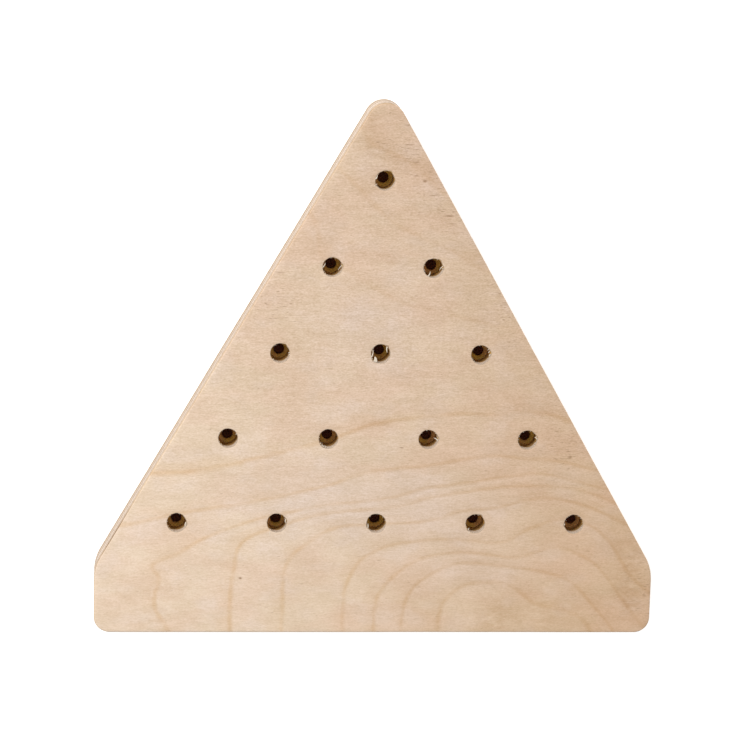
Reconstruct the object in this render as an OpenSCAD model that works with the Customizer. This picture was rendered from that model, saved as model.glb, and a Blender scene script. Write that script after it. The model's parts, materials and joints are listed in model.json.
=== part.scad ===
// Triangle peg jump board: a plywood blank with fifteen stepped peg holes.
// The board lies flat, holes up, with its top corner towards +Y.
// Origin: middle of the footprint's bounding box, on the underside.

/* [Hole pattern] */
// Distance from one peg hole to the next, centre to centre
hole_pitch = 25.4; // [20:0.1:32]
// Number of rows in the triangle of holes
hole_rows = 5; // [3:1:6]

/* [Outline] */
// From the outer line of holes to the slanted edge beside it
side_margin = 12.2; // [11:0.1:14]
// From the bottom row of holes to the bottom edge
base_margin = 28.9; // [27:0.1:34]
// How far the upright cuts stand out from the bottom row's end holes
cut_margin = 20.8; // [17:0.1:21.5]
// Radius of the top corner
apex_r = 5; // [3:0.5:8]
// Radius where a slanted edge meets an upright cut
shoulder_r = 12; // [4:0.5:13]
// Radius of the two bottom corners
base_r = 4; // [3:0.1:6]
// Width of the sanded bevel round both faces
edge_ease = 0.4; // [0.2:0.1:0.7]

/* [Plies] */
// Thickness of each outer veneer after sanding
face_t = 0.95; // [0.8:0.05:1.5]
// Thickness of each of the five inner plies
ply_t = 1.4; // [1.2:0.1:2]
// Thickness of each film of glue
glue_t = 0.1; // [0.05:0.01:0.2]

/* [Peg holes] */
// Diameter of the part of the hole that takes the peg
peg_hole_d = 4.8; // [4:0.1:5.2]
// Depth of the full diameter below the top face
peg_hole_depth = 5.5; // [4:0.1:5.5]
// Diameter of the pilot hole below it
pilot_d = 2.7; // [1.5:0.1:3.2]
// Wood left between the pilot hole's tip and the bottom veneer
pilot_gap = 0.35; // [0.25:0.05:0.6]
// Angle across the point of both drills
drill_point = 118; // [110:1:140]

/* [Hidden] */

row_pitch = hole_pitch * sin(60);
holes_h = (hole_rows - 1) * row_pitch;
half_w = (hole_rows - 1) * hole_pitch / 2 + cut_margin;
layer_t = ply_t + glue_t;
board_t = 2 * face_t + 5 * layer_t + glue_t;

// The sharp corner above the top hole, and the top of its rounding
sharp_top = side_margin / sin(30);
rounded_top = sharp_top - apex_r * (1 / sin(30) - 1);
board_h = rounded_top + holes_h + base_margin;

// Height of the top hole and of the bottom edge, with the footprint centred
top_hole_y = board_h / 2 - rounded_top;
base_y = -board_h / 2;
sharp_y = top_hole_y + sharp_top;

// Where a slanted edge meets the upright cut, as a sharp corner
shoulder_y = sharp_y - half_w / tan(30);

// Depth of the pilot hole's straight wall below the top face
pilot_depth = board_t - face_t - pilot_gap - point_h(pilot_d);

overcut = 1;
hole_fn = 96;
// Angle between neighbouring points of a corner's rounding
arc_step = 6;

wood_face = [0.89, 0.79, 0.67];
wood_long = [0.85, 0.73, 0.58];
wood_cross = [0.73, 0.58, 0.42];
glue_brown = [0.45, 0.30, 0.17];

// Height of the conical point of a drill of diameter d
function point_h(d) = d / 2 / tan(drill_point / 2);

// Centre of a rounding of radius r at the sharp shoulder
function shoulder_centre(r, side) = [
    side * (half_w - r),
    shoulder_y - r * tan(15)
];

// The five corner roundings as [centre, radius], clockwise from the top
function corners() = [
    [[0, sharp_y - apex_r / sin(30)], apex_r],
    [shoulder_centre(shoulder_r, 1), shoulder_r],
    [[half_w - base_r, base_y + base_r], base_r],
    [[-half_w + base_r, base_y + base_r], base_r],
    [shoulder_centre(shoulder_r, -1), shoulder_r]
];

// Direction in which each corner's rounding starts, and how far it turns clockwise
arc_start = [150, 30, 0, -90, -180];
arc_turn = [120, 30, 90, 90, 30];

// Points of the outline, drawn in by inset all round, clockwise from the top corner's left end
function outline_points(inset = 0) = [
    for (i = [0:4], step = [0:arc_turn[i] / arc_step])
        let (angle = arc_start[i] - step * arc_step)
            corners()[i][0] + (corners()[i][1] - inset) * [cos(angle), sin(angle)]
];

// A layer of the board, t thick, with its underside at z
module layer(z, t, inset = 0) {
    translate([0, 0, z]) linear_extrude(t) polygon(outline_points(inset));
}

// Centres of the peg holes, row by row from the top
function hole_centres() = [
    for (row = [0:hole_rows - 1], i = [0:row])
        [(i - row / 2) * hole_pitch, top_hole_y - row * row_pitch]
];

// The space that a drill of diameter d leaves at depth below the top face
module drilled(d, depth) {
    translate([0, 0, board_t - depth])
        cylinder(d = d, h = depth + overcut, $fn = hole_fn);
    translate([0, 0, board_t - depth - point_h(d)])
        cylinder(d1 = 0, d2 = d, h = point_h(d), $fn = hole_fn);
}

// All the stepped peg holes
module peg_holes() {
    for (centre = hole_centres())
        translate(centre) {
            drilled(peg_hole_d, peg_hole_depth);
            drilled(pilot_d, pilot_depth);
        }
}

// Underside of glue line i, counted from 1 just below the top veneer
function glue_z(i) = board_t - face_t - glue_t - (i - 1) * layer_t;

module glue_line(i) {
    color(glue_brown) difference() {
        layer(glue_z(i), glue_t);
        peg_holes();
    }
}

// The inner ply just below glue line i
module ply_below(i, shade) {
    color(shade) difference() {
        layer(glue_z(i) - ply_t, ply_t);
        peg_holes();
    }
}

module top_face_veneer() {
    color(wood_face) difference() {
        hull() {
            layer(board_t - face_t, face_t - edge_ease);
            layer(board_t - face_t, face_t, edge_ease);
        }
        peg_holes();
    }
}

module bottom_face_veneer() {
    color(wood_face) hull() {
        layer(edge_ease, face_t - edge_ease);
        layer(0, face_t, edge_ease);
    }
}

module upper_cross_ply() { ply_below(1, wood_cross); }
module upper_long_ply() { ply_below(2, wood_long); }
module core_cross_ply() { ply_below(3, wood_cross); }
module lower_long_ply() { ply_below(4, wood_long); }
module lower_cross_ply() { ply_below(5, wood_cross); }

top_face_veneer();
glue_line(1);  // glue_line_1
upper_cross_ply();
glue_line(2);  // glue_line_2
upper_long_ply();
glue_line(3);  // glue_line_3
core_cross_ply();
glue_line(4);  // glue_line_4
lower_long_ply();
glue_line(5);  // glue_line_5
lower_cross_ply();
glue_line(6);  // glue_line_6
bottom_face_veneer();
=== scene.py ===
"""The looks of the triangle peg jump game: a plywood board with fifteen stepped peg holes.

Everything is in metres, in the frame's axes: the board lies on z = 0 and its top corner points along +Y.
"""

import json
import math

import bmesh
import bpy
import numpy as np
from mathutils import Matrix, Vector, noise
from mathutils.geometry import delaunay_2d_cdt


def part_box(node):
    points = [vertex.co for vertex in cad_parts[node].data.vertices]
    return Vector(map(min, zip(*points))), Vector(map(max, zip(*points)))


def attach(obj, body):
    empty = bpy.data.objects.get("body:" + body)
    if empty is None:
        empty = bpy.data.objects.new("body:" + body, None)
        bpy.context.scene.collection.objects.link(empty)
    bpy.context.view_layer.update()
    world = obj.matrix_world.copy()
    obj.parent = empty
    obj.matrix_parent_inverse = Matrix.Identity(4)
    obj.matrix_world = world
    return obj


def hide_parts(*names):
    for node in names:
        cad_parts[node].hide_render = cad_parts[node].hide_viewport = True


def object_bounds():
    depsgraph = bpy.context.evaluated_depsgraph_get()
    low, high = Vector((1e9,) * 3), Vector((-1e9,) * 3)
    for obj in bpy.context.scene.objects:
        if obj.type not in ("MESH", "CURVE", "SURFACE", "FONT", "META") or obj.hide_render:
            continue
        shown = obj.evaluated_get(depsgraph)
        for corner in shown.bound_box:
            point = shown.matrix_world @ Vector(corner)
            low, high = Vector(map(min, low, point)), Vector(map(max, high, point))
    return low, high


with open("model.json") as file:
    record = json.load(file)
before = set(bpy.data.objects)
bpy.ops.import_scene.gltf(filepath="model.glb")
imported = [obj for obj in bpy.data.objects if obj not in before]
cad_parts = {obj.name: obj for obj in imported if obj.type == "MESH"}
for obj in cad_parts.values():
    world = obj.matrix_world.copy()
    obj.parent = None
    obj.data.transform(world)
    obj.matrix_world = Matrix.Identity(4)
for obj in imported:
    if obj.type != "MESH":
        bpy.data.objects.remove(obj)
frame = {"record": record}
cad_box = [list(corner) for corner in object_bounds()]
BOX_LOW, BOX_HIGH = (Vector(corner) for corner in cad_box)

MM = 0.001

# The board's outline: its extents, its corners' radii, the degrees between a slanting side and the Y axis,
# the distance between points along it, the easing of its edges, how far the saw wandered and over what
# length, and the length of its frayed bits.
HALF_WIDTH = BOX_HIGH.x
BOTTOM = BOX_LOW.y
TOP = BOX_HIGH.y
FACE_Z = BOX_HIGH.z
APEX_RADIUS = 5 * MM
SHOULDER_RADIUS = 12 * MM
BASE_RADIUS = 4 * MM
SLANT = 30
OUTLINE_STEP = 0.6 * MM
EDGE_EASE = 0.45 * MM
SAW_WANDER = 0.05 * MM
SAW_WAVE = 22 * MM
FRAY_WAVE = 1.6 * MM

# The stepped holes: a straight bore for the peg, a cone as the drill leaves it, and the thin pilot under it.
MOUNTS = frame["record"]["mounts"]
HOLES = [Vector(mount["pos_m"]) for mount in MOUNTS if mount["name"].startswith("peg_hole")]
BORE_RADIUS = 2.4 * MM
BORE_FLOOR = FACE_Z - 5.5 * MM
CONE_SLOPE = math.tan(math.radians(90 - 118 / 2))
PILOT_RADIUS = 1.35 * MM
PILOT_TOP = BORE_FLOOR - (BORE_RADIUS - PILOT_RADIUS) * CONE_SLOPE
PILOT_TIP = 1.3 * MM
PILOT_FLOOR = PILOT_TIP + PILOT_RADIUS * CONE_SLOPE
HOLE_SIDES = 72
WALL_STEP = 0.3 * MM
WALL_ROUGHNESS = 0.05 * MM
TEAR_DEPTH = 0.7 * MM
RIM_ROUGHNESS = 0.10 * MM
RIM_EASE = 0.14 * MM

# The face's mesh is fine enough to carry the growth rings. It stays a little clear of the holes and the edge.
FACE_GRID = 0.9 * MM
CLEAR_OF_HOLES = 0.8 * MM
CLEAR_OF_EDGE = 1.2 * MM

# What is closer together than this is at the same place.
TINY = 1e-6

# Edges with a steeper turn than this are shaded as sharp ones.
SHARP_ANGLE = math.radians(35)

# Each layer's three materials: its flat faces, its sawn edge, and the walls of the holes in it.
FACE, EDGE, WALL = 0, 1, 2

# The face's dark growth lines, drawn in mm, innermost first. Each goes up on the left, over the heart
# and down on the right, and both its ends lie beyond the board.
GROWTH_LINES = (
    ((16.5, -80), (16.8, -66), (17.4, -61), (19.5, -58), (24, -55.4), (31, -55), (36, -56.3), (41, -60),
     (48, -62), (55, -66), (60, -80)),
    ((7, -80), (7.5, -62), (10, -56), (14, -52.8), (19, -50.4), (25, -50), (37, -51), (46, -52.8),
     (51, -55.2), (56, -60.5), (62, -68), (66, -80)),
    ((0, -80), (0.3, -62), (2.5, -56), (8, -50.8), (14, -48), (22, -47), (35, -48.2), (40, -47.2),
     (45, -45.4), (50, -46.2), (56, -49.4), (61, -55), (67, -63), (76, -72)),
    ((-8, -80), (-7.8, -62), (-6.4, -54), (-3.5, -48.8), (2, -45.6), (10, -44), (18, -43.4),
     (30, -44.5), (35, -43.2), (40, -40.3), (47, -38.2), (54, -39.2), (61, -45), (67, -54), (80, -64)),
    ((-23.5, -80), (-23.5, -60), (-22.3, -49.5), (-16, -43.5), (-10, -40.6), (2, -39.6), (14, -38.4),
     (22, -36), (31, -35.1), (38, -33.3), (44, -32.8), (51, -33.9), (60, -37.4), (80, -48)),
    ((-37.2, -80), (-36.8, -58), (-35.7, -50), (-34, -44.5), (-27, -41), (-18, -37.8), (-10, -36.4),
     (4, -35.3), (14, -32.6), (23, -31), (34, -29.8), (46, -29.7), (56, -31.6), (80, -42)),
    ((-46, -80), (-53, -67), (-56, -61), (-55, -54), (-56.5, -50.3), (-50, -47.3), (-44, -43.6),
     (-36, -40.3), (-26, -37.2), (-14, -34.7), (-2, -33.5), (6, -32.1), (13, -30), (24, -28.5),
     (36, -26.6), (46, -26.9), (80, -36)),
    ((-90, -42), (-66, -40.5), (-56, -38.4), (-44, -36), (-32, -33.7), (-20, -31.2), (-11, -29.2),
     (-2, -26), (12, -24.2), (26, -21.9), (36, -21.9), (50, -23.4), (80, -32)),
    ((-90, -27.5), (-56, -26.6), (-46, -25.7), (-34, -23.4), (-24, -20.8), (-10, -16.5), (-1, -13.3),
     (10, -11.9), (20, -10.8), (29, -10.9), (36, -9.7), (44, -10.9), (56, -14.5), (90, -20)),
    ((-90, 60), (-30, 50), (-18, 39), (-15.5, 30), (-8, 25.6), (0, 20.2), (6, 17.4), (13, 16),
     (24, 13.4), (34, 11), (90, 0)),
    ((-90, 75), (-30, 62), (-13, 52), (-5, 45), (2, 38.6), (10, 34.4), (17, 31.6), (26, 26), (60, 10)),
    ((-90, 95), (-12, 68), (-6.5, 61.5), (-3, 57.5), (5, 54), (10, 50), (18, 42), (40, 20)),
)
CURVE_STEPS = 6

# Where rims are torn back: the hole's number, the angle and half width in degrees, and the depth in mm.
RIM_TEARS = (
    (1, 57, 12, 0.25), (1, 205, 9, 0.30), (2, 8, 14, 0.35), (3, 50, 12, 0.30), (3, 0, 14, 0.20),
    (4, 58, 10, 0.25), (5, 225, 16, 0.25), (5, 48, 8, 0.35), (6, 12, 20, 0.30), (8, 245, 26, 0.20),
    (9, 8, 14, 0.35), (10, 14, 14, 0.25), (11, 350, 16, 0.25), (12, 12, 16, 0.20), (13, 200, 14, 0.15),
    (14, 56, 12, 0.30), (14, 222, 10, 0.20), (15, 188, 9, 0.15),
)

# The long splinters: the hole's number, the angle on its rim and the heading in degrees, and the length and
# width in mm.
SPLINTERS = (
    (1, 172, 45, 1.1, 0.32), (1, 205, 205, 0.8, 0.12), (2, 183, 42, 1.4, 0.22), (2, 10, 214, 1.7, 0.16),
    (3, 239, 48, 1.4, 0.34), (3, 12, 212, 1.4, 0.18), (4, 5, 205, 0.5, 0.18), (5, 238, 76, 1.4, 0.95),
    (5, 201, 62, 2.1, 0.30), (5, 49, 252, 1.6, 0.32), (6, 20, 200, 0.6, 0.20), (6, 4, 218, 0.7, 0.18),
    (6, 38, 232, 0.5, 0.14), (7, 30, 235, 0.4, 0.14), (8, 214, 62, 0.5, 0.16), (8, 228, 70, 0.6, 0.16),
    (8, 240, 58, 0.5, 0.14), (8, 254, 80, 0.6, 0.16), (8, 268, 66, 0.4, 0.14), (9, 352, 124, 1.3, 0.32),
    (10, 4, 118, 0.9, 0.28), (10, 22, 235, 0.5, 0.16), (11, 4, 232, 1.2, 0.22), (11, 338, 60, 0.8, 0.18),
    (12, 23, 250, 1.0, 0.28), (12, 232, 244, 1.7, 0.24), (13, 209, 72, 1.2, 0.28), (14, 222, 45, 0.6, 0.26),
    (14, 240, 212, 0.9, 0.14), (15, 188, 60, 0.5, 0.20),
)

# The fibres' steps, how far outside the bore and under the face they start, and how much fuzz a rim has.
FIBRE_STEPS = 6
FIBRE_ROOT_OUT = 0.05 * MM
FIBRE_ROOT_DEPTH = 0.09 * MM
FUZZ_PER_RIM = 16

# Stains on the face: the middle, the half lengths across and up in mm, and the strength.
STAINS = (
    (-26, -21, 4, 1.2, 0.4), (-16, -30, 2, 1, 0.45), (-2, -25, 6, 1.6, 0.45), (0, -13.5, 5, 1.2, 0.5),
    (30, -66, 6, 4, 0.5), (32, -62, 4, 2, 0.4), (-54.5, -54, 2.5, 4, 0.45), (-3, -28.5, 5, 1, 0.35),
    (-13, -31.5, 8, 0.9, 0.3), (-4, 62, 4, 6, 0.5), (0, 56, 7, 2.5, 0.45), (7, 52.5, 6, 2, 0.4),
    (13, 49, 4, 2, 0.45), (-26, 19, 6, 3, 0.3), (-30, 0, 5, 3, 0.2), (-28, -4.5, 4, 1.8, 0.3),
    (-26, -7, 4, 1.4, 0.25), (-9, -5.5, 4, 1.4, 0.3), (65.5, -53, 4, 11, 0.8), (67, -60, 3, 4, 0.4),
    (24, 14, 7, 2, 0.3), (46, -24, 7, 2, 0.35), (-19, 10, 10, 8, 0.4), (44, -63, 17, 7, 0.6),
    (-55, -63, 14, 7, 0.5), (41, -9.5, 8, 2.5, 0.5), (20, 29, 5, 6, 0.35),
)

# Where the face's fibres are rough and show dark pores: the middle, and the half lengths across and up in mm.
ROUGH_PATCHES = (
    (15, 45, 7, 14), (32, 17, 5, 16), (69, -57, 5, 8), (48, -18, 8, 8), (-26, 17, 7, 6), (4, 57, 8, 6),
)

# Where the face is a little pinker: the middle, the half lengths across and up in mm, and a strength under 1.
PINK_PATCHES = ((-13, -34, 20, 8), (14, -36, 20, 10), (26, -52, 14, 5), (-4, 12, 12, 8, 0.6))

# Pin knots and single open fibres: the middle, the half lengths across and up in mm, and the strength.
SPECKS = (
    (-34.4, -53.8, 0.7, 0.5, 0.9), (49.2, -21.7, 0.9, 0.6, 0.7), (6, -19.5, 0.8, 0.3, 0.7),
    (5.3, 62.6, 1.3, 0.35, 0.45), (6.3, 57.8, 1.3, 0.35, 0.5), (7.8, 56.6, 1.2, 0.35, 0.5),
    (7.7, 53.4, 1.2, 0.4, 0.6), (7.8, 50, 1.1, 0.35, 0.6), (10, 48.7, 0.9, 0.5, 0.95),
    (11.2, 51, 1.0, 0.35, 0.5), (12.4, 45.1, 2.4, 0.3, 0.5), (16.4, 40, 2, 0.35, 0.85),
    (17.2, 38, 1.5, 0.3, 0.45), (-25.8, 25.2, 1.8, 0.35, 0.5),
)

# A darker brown band on the left shoulder's eased edge: its middle, and the half lengths across and up in mm.
SHOULDER_BAND = (-66, -42, 10, 16)

# The face's slow changes of tone, painted shade of the light falling off towards the right:
# a direction across it, two distances along that in mm, and a tint at each.
PAINTED_FALLOFF = (
    ((1, 0.9), -110, 55, (1.015, 1.01, 1.0), (0.805, 0.745, 0.69)),
    ((1, -0.5), 0, 90, (1.01, 1.035, 1.08), (0.965, 0.925, 0.87)),
)

# The face's colours, and what they are multiplied by on the growth lines, left and right, and in the stains.
CLEAR_WOOD = (0.80, 0.625, 0.455)
RED_WOOD = (0.79, 0.59, 0.43)
PINK_WOOD = (0.81, 0.65, 0.525)
PORE_BROWN = (0.30, 0.17, 0.085)
SHOULDER_BAND_BROWN = (0.20, 0.11, 0.05)
LINE_TINT = (0.925, 0.85, 0.73)
LINE_TINT_RIGHT = (0.91, 0.855, 0.765)
STAIN_TINT = (0.86, 0.80, 0.72)

# The powers of a shade in red, green and blue: what gets darker gets browner as well.
DARKENING = (1.0, 1.2, 1.7)

# The colours in the holes and of the torn fibres at their rims.
# Pale where the light reaches a wall and brown where it doesn't: painted light and shade; the brown is partly
# drill burn as well.
BORE_PALE = (0.69, 0.57, 0.46)
BORE_BROWN = (0.60, 0.34, 0.08)
# A painted shadow on the walls that face the light, under their lit band.
BORE_SHADOW = (0.15, 0.085, 0.035)
# The cone's floor faces up: its lighter yellow is partly painted light.
CONE_YELLOW = (0.78, 0.52, 0.10)
CONE_RED = (0.77, 0.44, 0.16)
# Painted shade deep in the narrow pilot.
PILOT_SHADE = (0.13, 0.03, 0.012)
# Painted shade just under a hole's rim.
RIM_SHADE = (0.22, 0.14, 0.08)
FLECK_BROWN = (0.20, 0.10, 0.03)
FIBRE_PALE = (0.84, 0.76, 0.65)
FIBRE_DARK = (0.70, 0.58, 0.44)

# The colours of the sawn edges of the plies, with their grain along X and across it, and of the glue.
LONG_CLEAR = (0.68, 0.57, 0.48)
LONG_DARK = (0.58, 0.47, 0.38)
END_CLEAR = (0.50, 0.385, 0.29)
END_DARK = (0.40, 0.29, 0.20)
GLUE_DARK = (0.24, 0.13, 0.06)
GLUE_LIGHT = (0.40, 0.25, 0.13)

# The floor, just under the board, and how strongly it glows.
FLOOR_REACH = 3.0
FLOOR_GAP = 0.05 * MM
FLOOR_DARK = (0.80, 0.80, 0.80)
FLOOR_PALE = (0.82, 0.82, 0.82)
FLOOR_GLOW = 0.62

# The light: the even room's strength, and the softbox, in metres and watts.
ROOM_LIGHT = 0.60
SOFTBOX_PLACE = (-0.44, 0.60, 0.58)
SOFTBOX_SIZE = 0.18
SOFTBOX_POWER = 6.4
SOFTBOX_COLOUR = (1, 0.99, 0.98)

# The camera: its place and what it looks at on the face in mm, its turn in degrees, and its lens in mm.
CAMERA_PLACE = (-68, 147.8, 748.7)
CAMERA_AIM = (-1.3, -0.7)
CAMERA_ROLL = 1.48
CAMERA_LENS = 144


# -------------------------------------------------------------------------------- outline and holes

def arc(centre, radius, start, end):
    """Points and outward normals along an arc, from start to end degrees."""
    count = max(6, round(radius * math.radians(end - start) / (0.5 * OUTLINE_STEP)))
    angles = np.radians(np.linspace(start, end, count))
    normals = np.stack([np.cos(angles), np.sin(angles)], 1)
    return np.array(centre) + radius * normals, normals


def outline():
    """The board's outline, anticlockwise from its right base corner: points, and their outward normals."""
    sharp_top = TOP + APEX_RADIUS
    sharp_shoulder = sharp_top - HALF_WIDTH / math.tan(math.radians(SLANT))
    shoulder = sharp_shoulder - SHOULDER_RADIUS * math.tan(math.radians(SLANT / 2))
    base = BOTTOM + BASE_RADIUS
    corners = [
        arc((HALF_WIDTH - BASE_RADIUS, base), BASE_RADIUS, -90, 0),
        arc((HALF_WIDTH - SHOULDER_RADIUS, shoulder), SHOULDER_RADIUS, 0, SLANT),
        arc((0, TOP - APEX_RADIUS), APEX_RADIUS, SLANT, 180 - SLANT),
        arc((SHOULDER_RADIUS - HALF_WIDTH, shoulder), SHOULDER_RADIUS, 180 - SLANT, 180),
        arc((BASE_RADIUS - HALF_WIDTH, base), BASE_RADIUS, 180, 270),
    ]
    points, normals = [], []
    for k, (curve, directions) in enumerate(corners):
        ahead = corners[(k + 1) % len(corners)][0][0]
        gap = ahead - curve[-1]
        count = max(2, round(np.linalg.norm(gap) / OUTLINE_STEP))
        steps = np.linspace(0, 1, count + 1)[1:-1, None]
        points += [curve, curve[-1] + steps * gap]
        normals += [directions, np.repeat(directions[-1:], count - 1, 0)]
    return np.concatenate(points), np.concatenate(normals)


POINTS, NORMALS = outline()


def wave(x, y, z, size, seed):
    """Smooth noise from -1 to 1 whose bumps are about size metres across."""
    return noise.noise(Vector((x / size + seed, y / size - seed, z / size + 3.7 * seed)))


def edge_ring(inset, z, rough, seed):
    """The outline pulled in by inset at height z, with the saw's slow wander and a ply's own roughness."""
    ring = []
    for (x, y), (nx, ny) in zip(POINTS, NORMALS):
        wander = SAW_WANDER * (wave(x, y, 0, SAW_WAVE, 4) - 0.6)
        fray = rough * wave(x, y, z, FRAY_WAVE, seed)
        d = inset - wander + abs(fray)
        ring.append((x - d * nx, y - d * ny, z))
    return ring


def hole_radius(z):
    """A hole's radius at height z, or 0 under its tip."""
    if z >= BORE_FLOOR:
        return BORE_RADIUS
    if z >= PILOT_TOP:
        return PILOT_RADIUS + (z - PILOT_TOP) / CONE_SLOPE
    if z >= PILOT_FLOOR:
        return PILOT_RADIUS
    return max(0.0, (z - PILOT_TIP) / CONE_SLOPE)


def rim_tear(number, angle):
    """How far the face's fibres are torn back from a hole's rim at an angle."""
    torn = 0.0
    for hole, at, width, depth in RIM_TEARS:
        off = (math.degrees(angle) - at + 180) % 360 - 180
        if hole == number:
            torn += depth * MM * math.exp(-(off / width) ** 2)
    return torn


def hole_ring(number, radius, z, rough):
    """One ring of a hole's wall: the drill leaves it a little out of round, and torn near the face."""
    centre, seed = HOLES[number - 1], 1.7 * number
    near_face = max(0.0, 1 - (FACE_Z - z) / TEAR_DEPTH)
    ring = []
    for k in range(HOLE_SIDES):
        a = 2 * math.pi * k / HOLE_SIDES
        x, y = centre.x + radius * math.cos(a), centre.y + radius * math.sin(a)
        bump = wave(x, y, z, 1.1 * MM, seed) * 0.7 + wave(x, y, z, 0.4 * MM, seed + 9) * 0.5
        r = radius + rough * bump + near_face * rim_tear(number, a)
        ring.append((centre.x + r * math.cos(a), centre.y + r * math.sin(a), z))
    return ring


# -------------------------------------------------------------------------------------- mesh making

class Sheet:
    """A mesh under construction: vertices, faces, and a material number for each face."""

    def __init__(self):
        self.vertices = []
        self.faces = []
        self.kinds = []

    def add_ring(self, ring):
        """Adds a ring's points, and gives their numbers."""
        start = len(self.vertices)
        self.vertices += [tuple(p) for p in ring]
        return list(range(start, start + len(ring)))

    def join(self, low, high, kind):
        """Quads between two rings of as many points."""
        count = len(low)
        for k in range(count):
            n = (k + 1) % count
            self.faces.append((low[k], low[n], high[n], high[k]))
            self.kinds.append(kind)

    def close(self, ring, kind, tip):
        """A fan from a ring to a tip."""
        middle = len(self.vertices)
        self.vertices.append(tip)
        count = len(ring)
        for k in range(count):
            self.faces.append((ring[k], ring[(k + 1) % count], middle))
            self.kinds.append(kind)

    def cap(self, outer, holes, kind, grid=()):
        """A flat sheet between an outer ring and the rings of the holes in it, with grid's points inside."""
        index, edges = [], []
        for ring in [outer] + holes:
            start = len(index)
            index += ring
            edges += [(start + k, start + (k + 1) % len(ring)) for k in range(len(ring))]
        z = self.vertices[outer[0]][2]
        known = [Vector(self.vertices[i][:2]) / MM for i in index]
        extra = [Vector(p) / MM for p in grid]
        # 1 asks for the triangles inside the outer ring only; those in the holes are left out further down.
        made, _, triangles, origins, _, _ = delaunay_2d_cdt(known + extra, edges, [], 1, TINY)
        number = []
        for place, origin in zip(made, origins):
            old = [o for o in origin if o < len(index)]
            if old:
                number.append(index[old[0]])
            else:
                number.append(len(self.vertices))
                self.vertices.append((place.x * MM, place.y * MM, z))
        owner = {i: ring for ring in holes for i in ring}
        for triangle in triangles:
            face = [number[k] for k in triangle]
            ring = owner.get(face[0])
            same = ring is not None and all(owner.get(i) is ring for i in face)
            if not (same and self.in_ring(face, ring)):
                self.faces.append(tuple(face))
                self.kinds.append(kind)

    def in_ring(self, face, ring):
        """True where a triangle between points of a ring lies inside that ring."""
        places = np.array([self.vertices[i][:2] for i in ring])
        centre = places.mean(0)
        middle = np.array([self.vertices[i][:2] for i in face]).mean(0) - centre
        turn = math.atan2(*(places[0] - centre)[::-1])
        step = round((math.atan2(middle[1], middle[0]) - turn) / (2 * math.pi) * len(ring)) % len(ring)
        return np.hypot(*middle) < np.hypot(*(places[step] - centre))

    def finish(self, name, materials):
        """The closed mesh as an object, with its faces turned outwards."""
        mesh = bpy.data.meshes.new(name)
        mesh.from_pydata(self.vertices, [], self.faces)
        mesh.polygons.foreach_set("material_index", self.kinds)
        for material in materials:
            mesh.materials.append(material)
        work = bmesh.new()
        work.from_mesh(mesh)
        bmesh.ops.recalc_face_normals(work, faces=work.faces)
        work.to_mesh(mesh)
        work.free()
        mesh.polygons.foreach_set("use_smooth", [True] * len(mesh.polygons))
        mesh.set_sharp_from_angle(angle=SHARP_ANGLE)
        piece = bpy.data.objects.new(name, mesh)
        bpy.context.scene.collection.objects.link(piece)
        return piece


# ------------------------------------------------------------------------------------- growth rings

def smooth(points):
    """A smooth curve through points: more points along it, each of the first ones among them."""
    p = np.array(points, float)
    p = np.vstack([2 * p[0] - p[1], p, 2 * p[-1] - p[-2]])
    t = np.linspace(0, 1, CURVE_STEPS, endpoint=False)[:, None]
    spans = []
    for a, b, c, d in zip(p, p[1:], p[2:], p[3:]):
        bend = 2 * a - 5 * b + 4 * c - d + t * (3 * (b - c) + d - a)
        spans.append(b + 0.5 * t * (c - a + t * bend))
    return np.vstack(spans + [p[-2:-1]])


def outward_distance(curve, x, y):
    """How far places lie from a curve, in mm: over 0 on its left, which is a growth line's outer side."""
    nearest = np.full(x.shape, np.inf)
    signed = np.zeros(x.shape)
    for start, end in zip(curve, curve[1:]):
        along = end - start
        across_x, across_y = x - start[0], y - start[1]
        share = np.clip((across_x * along[0] + across_y * along[1]) / (along @ along), 0, 1)
        reach = np.hypot(across_x - share * along[0], across_y - share * along[1])
        side = along[0] * across_y - along[1] * across_x
        closer = reach < nearest
        nearest = np.where(closer, reach, nearest)
        signed = np.where(closer, np.copysign(reach, side), signed)
    return signed


def ring_field(x, y):
    """For places on the face, in mm: a ring number that is whole on each line, and how many mm make one ring.

    The number rises smoothly from line to line. Two more lines inside the innermost and two beyond the
    outermost, which lie off the board, give it a start and an end.
    """
    away = [outward_distance(smooth(line), x, y) for line in GROWTH_LINES]
    away = np.array([away[0] + 60, away[0] + 30] + away + [away[-1] - 100, away[-1] - 200])
    passed = (away > 0).sum(0)
    places = [np.take_along_axis(away, (passed + k)[None], 0)[0] for k in (-2, -1, 0, 1)]
    before, gap, after = (np.maximum(a - b, 0.5) for a, b in zip(places, places[1:]))
    # How steeply the number rises at the line before a place and at the next one, and how far it is between.
    leave, arrive = np.clip(np.sqrt(gap / before), 0.4, 2), np.clip(np.sqrt(gap / after), 0.4, 2)
    u = np.clip(places[1] / gap, 0, 1)
    part = (3 - 2 * u) * u * u + leave * u * (1 - u) ** 2 - arrive * u * u * (1 - u)
    slope = 6 * u * (1 - u) + leave * (1 - 4 * u + 3 * u * u) - arrive * (2 * u - 3 * u * u)
    return passed - 3 + part, gap / np.maximum(slope, 0.2)


def patches(x, y, spots):
    """The sum of soft spots, at most 1: each a middle, two half lengths and, where it has one, a strength."""
    total = np.zeros_like(x)
    for across, up, half_x, half_y, *strength in spots:
        total += (strength or [1.0])[0] * np.exp(-((x - across) / half_x) ** 2 - ((y - up) / half_y) ** 2)
    return np.minimum(total, 1.0)


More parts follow.
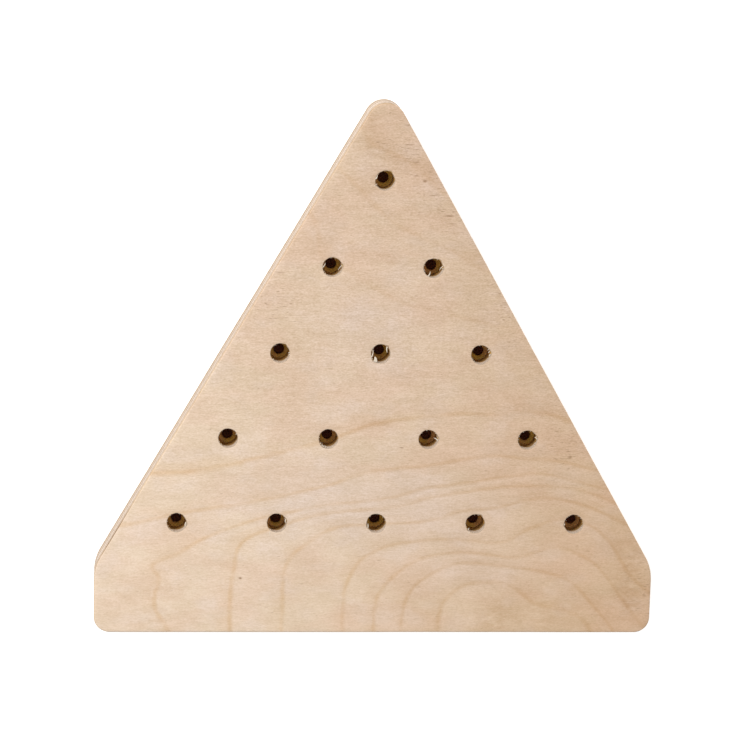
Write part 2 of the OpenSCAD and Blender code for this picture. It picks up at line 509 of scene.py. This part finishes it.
def store_rings(piece, turned=1):
    """Keeps what a face's material needs at each vertex of its veneer; -1 turns the figure half round."""
    place = np.array([v.co for v in piece.data.vertices]) / MM
    x, y = turned * place[:, 0], turned * place[:, 1]
    value, gap = ring_field(x, y)
    kept = {"ring": value, "ring_gap": gap}
    for name, spots in (("stain", STAINS), ("torn", ROUGH_PATCHES), ("pink", PINK_PATCHES)):
        kept[name] = patches(x, y, spots)
    for name, values in kept.items():
        layer = piece.data.attributes.new(name, "FLOAT", "POINT")
        layer.data.foreach_set("value", values.astype(np.float32))


# ----------------------------------------------------------------------------------- plies and glue

def wall_heights(low, high):
    """Heights at which a hole's wall in a layer gets a ring: its breaks, and steps between them."""
    breaks = [z for z in (PILOT_FLOOR, PILOT_TOP, BORE_FLOOR) if low + TINY < z < high - TINY]
    bottom = max(low, PILOT_TIP)
    stops = [bottom] + breaks + [high]
    heights = [bottom]
    for a, b in zip(stops, stops[1:]):
        count = max(1, round((b - a) / WALL_STEP))
        heights += [a + (b - a) * k / count for k in range(1, count + 1)]
    return heights


def grid_points():
    """Points inside the outline and clear of the holes, for the faces' fine mesh."""
    found = []
    rows = int((TOP - BOTTOM) / FACE_GRID)
    for j in range(rows + 1):
        y = BOTTOM + (j + 0.5) * FACE_GRID
        for i in range(-int(HALF_WIDTH / FACE_GRID) - 1, int(HALF_WIDTH / FACE_GRID) + 2):
            x = (i + 0.5 * (j % 2)) * FACE_GRID
            clear = min(math.hypot(x - h.x, y - h.y) for h in HOLES) > BORE_RADIUS + CLEAR_OF_HOLES
            if clear and inside(x, y, CLEAR_OF_EDGE):
                found.append((x, y))
    return found


def inside(x, y, margin):
    """True where a point lies at least margin inside the outline."""
    offsets = np.array((x, y)) - POINTS
    nearest = np.argmin((offsets ** 2).sum(1))
    return float(offsets[nearest] @ NORMALS[nearest]) < -margin


GRID = grid_points()


def edge_profile(low, high, ease_low, ease_high, recess):
    """(inset, height) pairs up a layer's edge, rounded over at the bottom or top of the board.

    Where it isn't rounded, it is inset by recess at its faces and by less in between, so it bulges a little.
    """
    profile = []
    turns = np.radians(np.linspace(0, 90, 6))
    if ease_low:
        profile += [(EDGE_EASE * (1 - math.sin(t)), low + EDGE_EASE * (1 - math.cos(t))) for t in turns]
    else:
        profile.append((recess, low))
    if ease_high:
        profile += [(EDGE_EASE * (1 - math.cos(t)), high - EDGE_EASE * (1 - math.sin(t))) for t in turns]
    else:
        middle = 0.5 * (profile[-1][1] + high)
        profile += [(0.3 * recess, middle), (recess, high)]
    return profile


def build_layer(name, materials, seed, rough=0.02 * MM, recess=0.01 * MM, fine=None):
    """One ply or film of glue: its edge, its two faces and its part of the holes.

    rough is how far its sawn edge is frayed, and recess how far that edge stands back at its faces. fine says
    which of its faces, the top or the bottom one, is the board's own: it is rounded over and fine-meshed.
    """
    low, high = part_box(name)[0].z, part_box(name)[1].z
    sheet = Sheet()
    rings = []
    for inset, z in edge_profile(low, high, fine == "bottom", fine == "top", recess):
        rings.append(sheet.add_ring(edge_ring(inset, z, rough, seed)))
    for below, above in zip(rings, rings[1:]):
        height = 0.5 * (sheet.vertices[below[0]][2] + sheet.vertices[above[0]][2])
        eased_top = fine == "top" and height > high - EDGE_EASE
        eased_bottom = fine == "bottom" and height < low + EDGE_EASE
        sheet.join(below, above, FACE if eased_top or eased_bottom else EDGE)
    tops, bottoms = [], []
    if high > PILOT_TIP + TINY:
        for number in range(1, len(HOLES) + 1):
            bottom, top = build_hole_wall(sheet, number, low, high, fine == "top")
            tops.append(top)
            if bottom:
                bottoms.append(bottom)
    sheet.cap(rings[-1], tops, FACE, GRID if fine == "top" else ())
    sheet.cap(rings[0], bottoms, FACE, GRID if fine == "bottom" else ())
    piece = sheet.finish(name + ("_film" if "glue" in name else "_wood"), materials)
    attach(piece, "root")
    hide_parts(name)
    return piece


def build_hole_wall(sheet, number, low, high, at_face):
    """One hole's wall in one layer: its bottom ring, or None where the drill's tip ends, and its top ring."""
    rings = []
    for z in wall_heights(low, high):
        radius = hole_radius(z)
        if radius > 0.05 * MM and not (at_face and z > FACE_Z - TINY):
            rings.append(sheet.add_ring(hole_ring(number, radius, z, WALL_ROUGHNESS)))
    if at_face:
        for turn in np.radians((0, 32, 62, 90)):
            radius = BORE_RADIUS + RIM_EASE * (1 - math.cos(turn))
            z = FACE_Z - RIM_EASE * (1 - math.sin(turn))
            rings.append(sheet.add_ring(hole_ring(number, radius, z, RIM_ROUGHNESS)))
    for below, above in zip(rings, rings[1:]):
        sheet.join(below, above, WALL)
    if low < PILOT_TIP - TINY:
        sheet.close(rings[0], WALL, (*HOLES[number - 1].xy, PILOT_TIP))
        return None, rings[-1]
    return rings[0], rings[-1]


def add_fibre(sheet, root, heading, length, width, lift, curl):
    """A torn fibre: a thin strip that leaves root, narrows, and lifts and curls towards its tip."""
    rings = []
    for k in range(FIBRE_STEPS + 1):
        t = k / FIBRE_STEPS
        turn = heading + curl * t
        along = Vector((math.cos(turn), math.sin(turn), 0))
        across = Vector((-along.y, along.x, 0))
        middle = root + along * (length * t) + Vector((0, 0, lift * math.sin(2.2 * t)))
        half = 0.5 * width * (1 - t) ** 0.5 + 0.012 * MM
        thick = 0.05 * MM * (1 - 0.6 * t)
        corners = ((-half, -thick), (half, -thick), (0.8 * half, thick), (-0.8 * half, thick))
        rings.append(sheet.add_ring([middle + across * w + Vector((0, 0, h)) for w, h in corners]))
    for below, above in zip(rings, rings[1:]):
        sheet.join(below, above, FACE)
    for end in (rings[0], rings[-1]):
        sheet.faces.append(tuple(end))
        sheet.kinds.append(FACE)


def rim_point(number, angle):
    """A place on a hole's rim, just under the face."""
    radius = BORE_RADIUS + FIBRE_ROOT_OUT
    turn = math.radians(angle)
    return HOLES[number - 1] + Vector((radius * math.cos(turn), radius * math.sin(turn), -FIBRE_ROOT_DEPTH))


def build_splinters(material):
    """The fibres that the drill left at the rims: the long ones one by one, and short fuzz all round."""
    sheet = Sheet()
    for number, angle, heading, length, width in SPLINTERS:
        turn = math.radians(heading)
        add_fibre(sheet, rim_point(number, angle), turn, length * MM, width * MM, 0.10 * MM, 0.35)
    random = np.random.default_rng(15)
    for number in range(1, len(HOLES) + 1):
        for _ in range(FUZZ_PER_RIM):
            angle, lean = random.uniform(0, 360), random.uniform(-60, 60)
            length, width = random.uniform(0.12, 0.34), random.uniform(0.04, 0.10)
            turn = math.radians(angle + 180 + lean)
            add_fibre(sheet, rim_point(number, angle), turn, length * MM, width * MM, -0.05 * MM, 0.5)
    piece = sheet.finish("rim_splinters", [material])
    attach(piece, "root")


# ---------------------------------------------------------------------------------------- materials

class Value:
    """What a node gives out at each point of a surface, so that a material's sums can be written as sums."""

    def __init__(self, graph, socket):
        self.graph = graph
        self.socket = socket

    def __add__(self, other):
        return self.graph.math("ADD", self, other)

    def __sub__(self, other):
        return self.graph.math("SUBTRACT", self, other)

    def __rsub__(self, other):
        return self.graph.math("SUBTRACT", other, self)

    def __mul__(self, other):
        return self.graph.math("MULTIPLY", self, other)

    def __truediv__(self, other):
        return self.graph.math("DIVIDE", self, other)


class Graph:
    """A node material in the making. Lengths in it are in mm."""

    def __init__(self, name):
        self.material = bpy.data.materials.new(name)
        self.material.use_nodes = True
        self.tree = self.material.node_tree
        self.shader = self.tree.nodes["Principled BSDF"]
        metres = self.node("ShaderNodeTexCoord", output="Object")
        self.place = self.vector("MULTIPLY", metres, (1 / MM, 1 / MM, 1 / MM))

    def node(self, kind, inputs=None, output=0, **settings):
        """Adds a node with these settings and inputs, and gives one of its outputs."""
        made = self.tree.nodes.new(kind)
        for key, value in settings.items():
            setattr(made, key, value)
        for key, value in (inputs or {}).items():
            self.put(made.inputs[key], value)
        return Value(self, made.outputs[output])

    def put(self, socket, value):
        """Links a Value to a socket, or sets the socket to a plain number, vector or colour."""
        if isinstance(value, Value):
            self.tree.links.new(value.socket, socket)
        elif isinstance(value, tuple) and len(socket.default_value) == 4:
            socket.default_value = (*value, 1)
        else:
            socket.default_value = value

    def math(self, operation, a, b=0.0):
        return self.node("ShaderNodeMath", {0: a, 1: b}, operation=operation)

    def vector(self, operation, a, b=(0, 0, 0), output="Vector"):
        return self.node("ShaderNodeVectorMath", {0: a, 1: b}, output, operation=operation)

    def axes(self, vector=None):
        """The three numbers of a vector, or of the place itself."""
        made = self.tree.nodes.new("ShaderNodeSeparateXYZ")
        self.put(made.inputs[0], vector or self.place)
        return [Value(self, output) for output in made.outputs]

    def facing(self):
        """The three numbers of the surface's own direction."""
        return self.axes(self.node("ShaderNodeNewGeometry", output="Normal"))

    def noise(self, size, detail=2.0, rough=0.5, seed=0.0):
        """Noise around 0.5 whose bumps are about size mm long along each axis."""
        place = self.vector("MULTIPLY", self.place, tuple(1 / length for length in size))
        place = self.vector("ADD", place, (seed, 2 * seed, 3 * seed))
        inputs = {"Vector": place, "Scale": 1.0, "Detail": detail, "Roughness": rough}
        return self.node("ShaderNodeTexNoise", inputs, "Fac")

    def ramp(self, value, low, high, start=0.0, end=1.0):
        """start where value is low, end where it is high, with soft ends."""
        inputs = dict(enumerate((value, low, high, start, end)))
        return self.node("ShaderNodeMapRange", inputs, "Result", interpolation_type="SMOOTHSTEP")

    def mix(self, share, a, b, blend="MIX"):
        """Colour a where share is 0, b where it is 1, or a multiplied by b with the blend MULTIPLY."""
        return self.node("ShaderNodeMix", {0: share, 6: a, 7: b}, 2, data_type="RGBA", blend_type=blend)

    def stored(self, name):
        """A number that store_rings has kept in the mesh."""
        return self.node("ShaderNodeAttribute", output="Fac", attribute_name=name)

    def spot(self, x, y, across, up):
        """1 at a place on the face, falling softly to 0 at the given half lengths."""
        centred = self.vector("ADD", self.place, (-x, -y, 0))
        shrunk = self.vector("MULTIPLY", centred, (1 / across, 1 / up, 0))
        return self.ramp(self.vector("LENGTH", shrunk, output="Value"), 1, 0)

    def finish(self, colour, rough, height):
        """Connects the colour, the roughness, and a bump whose height is in mm."""
        self.put(self.shader.inputs["Base Color"], colour)
        self.put(self.shader.inputs["Roughness"], rough)
        bump = self.node("ShaderNodeBump", {"Strength": 1.0, "Distance": MM, "Height": height}, "Normal")
        self.put(self.shader.inputs["Normal"], bump)
        return self.material


def tinted(wood, colour, share, tint):
    """colour, multiplied by tint where share is 1."""
    return wood.mix(share, colour, wood.mix(1.0, colour, tint, "MULTIPLY"))


def brightened(wood, colour, factor):
    """colour, multiplied by a number: what gets darker gets browner as well."""
    powers = [wood.math("POWER", factor, power) for power in DARKENING]
    shade = wood.node("ShaderNodeCombineXYZ", dict(enumerate(powers)))
    return wood.mix(1.0, colour, shade, "MULTIPLY")


def with_painted_falloff(wood, colour):
    """colour with the slow changes of tone over the whole board, which are painted shade of the light's
    fall-off.
    """
    x, y, _ = wood.axes()
    for (along_x, along_y), near, far, near_tint, far_tint in PAINTED_FALLOFF:
        reach = x * along_x + y * along_y
        share = wood.node("ShaderNodeMapRange", {0: reach, 1: near, 2: far}, "Result")
        # painted shade: darker and warmer as the light falls off across the board
        colour = wood.mix(1.0, colour, wood.mix(share, near_tint, far_tint), "MULTIPLY")
    return colour


def birch(wood, seed):
    """Birch with broad reddish mottles and pinker hazes, and the board's changes of tone, which are painted
    shade.
    """
    mottle = wood.noise((17, 9, 9), 3, seed=seed + 2.2)
    haze = wood.noise((9, 6, 6), 3, seed=seed + 7.1)
    colour = wood.mix(wood.ramp(mottle, 0.35, 0.65), CLEAR_WOOD, RED_WOOD)
    pink = wood.ramp(haze, 0.45, 0.7, 0, 0.5) + wood.stored("pink") * 0.75
    return with_painted_falloff(wood, wood.mix(pink, colour, PINK_WOOD))


def growth_lines(wood):
    """How strongly a growth line darkens the face: sharper on its inner side, and broader
    where the lines are far apart."""
    ring, gap = wood.stored("ring"), wood.stored("ring_gap")
    wander = (wood.noise((19, 11, 11), 3, seed=1.3) - 0.5) * 1.6
    tremble = (wood.noise((2.6, 1.3, 2), 2, seed=4.1) - 0.5) * 0.5
    moved = ring + (wander + tremble) / gap
    away = (moved - wood.math("ROUND", moved)) * gap
    away = away / wood.ramp(gap, 4, 14, 0.85, 1.15)
    line = wood.ramp(away, -0.9, 0.1) * wood.ramp(away, 0.1, 1.3, 1, 0)
    shade = wood.ramp(away, -0.8, 0.3) * wood.ramp(away, 0.4, 4.5, 0.35, 0)
    faint_at_the_top = wood.ramp(moved, 8.3, 8.8, 1.0, 0.5)
    broken = wood.ramp(wood.noise((16, 5, 5), 2, seed=7.7), 0.32, 0.6, 0.45, 1.0)
    return wood.math("MAXIMUM", line, shade) * faint_at_the_top * broken


def pore_shade(wood, seed):
    """How dark the pores are: fine ones, thicker in the rough patches, and the specks one by one."""
    torn = wood.stored("torn")
    density = wood.noise((1.5, 0.2, 1), 1, 0.5, seed=seed + 3.9) + torn * 0.10
    pores = wood.ramp(density, 0.70, 0.82) * (torn * 0.15 + 0.5)
    for across, up, half_x, half_y, strength in SPECKS:
        pores = wood.math("MAXIMUM", pores, wood.spot(across, up, half_x, half_y) * strength)
    return pores


def grain_shade(wood, fibre, seed):
    """How much lighter or darker than 1 the fibres, the strands, the specks and slow clouds make the face."""
    cloud = wood.ramp(wood.noise((11, 6, 6), 4, 0.6, seed=seed + 8.4), 0.3, 0.7, 0.955, 1.03)
    strand = wood.noise((14, 0.9, 3), 3, 0.55, seed=seed + 5.5)
    speckle = wood.noise((0.6, 0.27, 1), 2, 0.7, seed=seed + 9.1)
    grain = wood.ramp(fibre, 0.25, 0.75, -0.08, 0.065) + wood.ramp(strand, 0.3, 0.7, -0.015, 0.015)
    grain = grain + wood.ramp(speckle, 0.25, 0.75, -0.09, 0.09)
    grain = grain * wood.ramp(wood.axes()[1], -70, 20, 0.7, 1.15)
    return cloud * (grain + 1.0)


def eased_edge_painted_light(wood, colour):
    """colour, changed where the face rounds over into the edge: a painted highlight where it faces right,
    painted shade where it faces left and more where it faces down along -Y, and a darker brown band at the
    left shoulder.
    """
    right, up, out = wood.facing()
    upright = wood.math("ABSOLUTE", out)
    # painted light and shade: the eased edge is lighter where it faces right, darker where it faces left or
    # down
    eased = wood.ramp(right, 0.2, 0.5, 0.6, 1.25) * wood.ramp(up, -0.9, -0.6, 0.64, 1.0)
    colour = brightened(wood, colour, wood.ramp(upright, 0.45, 0.96, eased, 1.0))
    # a darker brown band on the eased edge at the left shoulder
    shoulder_band = wood.ramp(upright, 0.75, 0.95, 1, 0) * wood.spot(*SHOULDER_BAND)
    return wood.mix(shoulder_band * 0.9, colour, SHOULDER_BAND_BROWN)


def face_wood(name, seed=0.0):
    """Sanded rotary-cut birch: growth lines, stains, short dark pores and fine fibres along X."""
    wood = Graph(name)
    line_tint = wood.mix(wood.ramp(wood.axes()[0], -30, 25), LINE_TINT, LINE_TINT_RIGHT)
    colour = tinted(wood, birch(wood, seed), growth_lines(wood), line_tint)
    blotch = wood.ramp(wood.noise((3, 1.4, 2), 4, 0.65, seed=seed + 6.3), 0.3, 0.62)
    colour = tinted(wood, colour, wood.stored("stain") * blotch, STAIN_TINT)
    pores = pore_shade(wood, seed)
    colour = wood.mix(pores, colour, PORE_BROWN)
    fibre = wood.noise((1.7, 0.27, 1), 3, 0.65, seed=seed + 0.7)
    colour = brightened(wood, colour, grain_shade(wood, fibre, seed))
    rough = wood.ramp(fibre, 0.2, 0.8, 0.62, 0.75)
    return wood.finish(eased_edge_painted_light(wood, colour), rough, fibre * 0.03 - pores * 0.03)


def drilled_wood():
    """The holes' walls: pale near the face on their lower right side, where the light reaches them, as
    painted light;
    brown further down and all round, partly drill burn and partly painted shade, with a painted shadow under
    the pale band; yellower and lighter in the up-facing cone as painted light, and nearly black in the pilot
    and darker just under the rim as painted shade."""
    wood = Graph("drilled_wood")
    right, up, out = wood.facing()
    toward = up * 0.94 - right * 0.34
    depth = FACE_Z / MM - wood.axes()[2]
    level = depth + (wood.noise((1.2, 1.2, 1.2), 3, seed=3) - 0.5) * 0.5
    hue = wood.noise((5, 5, 5), 2, seed=8)
    cone = wood.mix(wood.ramp(hue, 0.4, 0.6), CONE_YELLOW, CONE_RED)
    # painted light: where the surface faces up, in the cone, it is lighter and yellower than the walls
    burn_and_shade = wood.mix(wood.ramp(out, 0.2, 0.4), BORE_BROWN, cone)
    # painted shadow: darker under the lit band on the walls that face the light
    painted_shadow = wood.ramp(toward, 0.2, 0.7) * wood.ramp(depth, 3.6, 4.6, 0.6, 0)
    burn_and_shade = wood.mix(painted_shadow, burn_and_shade, BORE_SHADOW)
    # painted light: how deep the pale, lit band reaches, deepest on the walls that face the light
    painted_lit_depth = wood.ramp(toward, 0.2, 0.9, 0, 1.9)
    colour = wood.mix(wood.ramp(level - painted_lit_depth, -0.05, 0.3), BORE_PALE, burn_and_shade)
    # painted shade: the deep pilot is nearly black
    colour = wood.mix(wood.ramp(level, 5.9, 6.3), colour, PILOT_SHADE)
    # painted shade: a thin darker band just under the rim
    colour = wood.mix(wood.ramp(depth, 0.03, 0.25, 0.5, 0), colour, RIM_SHADE)
    fleck = wood.noise((0.5, 0.5, 0.16), 3, 0.6, seed=6)
    colour = wood.mix(wood.ramp(fleck, 0.4, 0.75, 0, 0.3), colour, FLECK_BROWN)
    return wood.finish(colour, 0.8, fleck * 0.05)


def splinter_wood():
    """Bare torn fibres, paler than the sanded face."""
    wood = Graph("torn_fibres")
    fibre = wood.noise((0.3, 0.3, 0.3), 3, 0.6, seed=12)
    return wood.finish(wood.mix(fibre, FIBRE_PALE, FIBRE_DARK), 0.8, fibre * 0.02)


def sawn_wood(name, clear, dark, along, seed):
    """A ply's sawn edge, darker towards the underside with painted shade: its fibres run along X, or across
    it along Y.
    """
    wood = Graph(name)
    size = (9, 0.5, 0.14) if along == "x" else (0.16, 9, 0.16)
    fibre = wood.noise(size, 3, 0.6, seed=seed)
    cell = wood.noise((0.35, 0.35, 0.16), 2, 0.6, seed=seed + 3)
    patch = wood.noise((9, 9, 1.2), 3, seed=seed + 5)
    colour = wood.mix(wood.ramp(fibre, 0.3, 0.7), clear, dark)
    colour = wood.mix(wood.ramp(cell, 0.5, 0.72, 0, 0.5), colour, tuple(0.6 * c for c in dark))
    colour = wood.mix(wood.ramp(patch, 0.4, 0.7, 0, 0.3), colour, tuple(0.75 * c for c in clear))
    # painted shade: the edge darkens towards the underside, where the board meets the floor
    colour = brightened(wood, colour, wood.ramp(wood.axes()[2], 0.5, 6, 0.76, 1.0))
    return wood.finish(colour, 0.78, fibre * 0.04 + cell * 0.05)


def cured_glue():
    """Thin brown glue, matt and slightly glassy in places."""
    glue = Graph("cured_glue")
    grain = glue.noise((0.8, 0.8, 0.2), 3, seed=11)
    colour = glue.mix(glue.ramp(grain, 0.3, 0.7), GLUE_DARK, GLUE_LIGHT)
    return glue.finish(colour, glue.ramp(grain, 0.3, 0.7, 0.45, 0.7), grain * 0.03)


def studio_white():
    """The floor's white, which glows softly, so that it stays white in the picture."""
    white = Graph("studio_white")
    white.put(white.shader.inputs["Emission Color"], (1, 1, 1))
    white.put(white.shader.inputs["Emission Strength"], FLOOR_GLOW)
    return white.finish(white.mix(white.noise((40, 40, 40)), FLOOR_DARK, FLOOR_PALE), 0.9, 0.0)


# -------------------------------------------------------------------------- floor, light and camera

def plain_floor():
    """A pale flat sheet under the board."""
    mesh = bpy.data.meshes.new("studio_floor")
    corners = [(-FLOOR_REACH, -FLOOR_REACH), (FLOOR_REACH, -FLOOR_REACH),
               (FLOOR_REACH, FLOOR_REACH), (-FLOOR_REACH, FLOOR_REACH)]
    mesh.from_pydata([(x, y, -FLOOR_GAP) for x, y in corners], [], [(0, 1, 2, 3)])
    floor = bpy.data.objects.new("studio_floor", mesh)
    bpy.context.scene.collection.objects.link(floor)
    mesh.materials.append(studio_white())


def studio():
    """A bright even room, and one softbox at the upper left that is turned to the board."""
    world = bpy.data.worlds.new("studio")
    world.use_nodes = True
    world.node_tree.nodes["Background"].inputs["Color"].default_value = (1, 1, 1, 1)
    world.node_tree.nodes["Background"].inputs["Strength"].default_value = ROOM_LIGHT
    bpy.context.scene.world = world
    bpy.context.scene.view_settings.view_transform = "Standard"
    data = bpy.data.lights.new("key", "AREA")
    data.size = SOFTBOX_SIZE
    data.energy = SOFTBOX_POWER
    data.color = SOFTBOX_COLOUR
    lamp = bpy.data.objects.new("key", data)
    lamp.location = SOFTBOX_PLACE
    lamp.rotation_euler = (-Vector(SOFTBOX_PLACE)).to_track_quat("-Z", "Y").to_euler()
    bpy.context.scene.collection.objects.link(lamp)


def camera():
    """Almost straight above the board, a little towards its upper left, through a long lens."""
    data = bpy.data.cameras.new("camera")
    data.lens = CAMERA_LENS
    data.sensor_width = 36
    data.clip_start = 0.01
    place = Vector(CAMERA_PLACE) * MM
    aim = Vector((*CAMERA_AIM, FACE_Z / MM)) * MM
    back = (place - aim).normalized()
    right = Vector((0, 1, 0)).cross(back).normalized()
    level = Matrix((right, back.cross(right), back)).transposed()
    turn = level @ Matrix.Rotation(math.radians(CAMERA_ROLL), 3, "Z")
    eye = bpy.data.objects.new("camera", data)
    eye.matrix_world = Matrix.Translation(place) @ turn.to_4x4()
    bpy.context.scene.collection.objects.link(eye)
    bpy.context.scene.camera = eye


# ---------------------------------------------------------------------------------------- the board

def build_board():
    """The seven plies and the six films of glue, from the face down, and the splinters at the rims."""
    wall = drilled_wood()
    face = face_wood("birch_face")
    back = face_wood("birch_back", 20.0)
    side = sawn_wood("sawn_long_grain", LONG_CLEAR, LONG_DARK, "x", 1.0)
    end = sawn_wood("sawn_end_grain", END_CLEAR, END_DARK, "y", 2.0)
    glue = cured_glue()
    top = build_layer("top_face_veneer", [face, side, wall], 1.0, fine="top")
    store_rings(top)
    for seed, name in enumerate(("upper_long_ply", "lower_long_ply"), 3):
        build_layer(name, [side, side, wall], seed, rough=0.04 * MM)
    for seed, name in enumerate(("upper_cross_ply", "core_cross_ply", "lower_cross_ply"), 7):
        build_layer(name, [end, end, wall], seed, rough=0.05 * MM, recess=0.03 * MM)
    for number in range(1, 7):
        film = build_layer(f"glue_line_{number}", [glue, glue, glue], 20 + number, recess=0.05 * MM)
    under = build_layer("bottom_face_veneer", [back, side, wall], 2.0, fine="bottom")
    store_rings(under, turned=-1)
    build_splinters(splinter_wood())


camera()
studio()
plain_floor()
build_board()
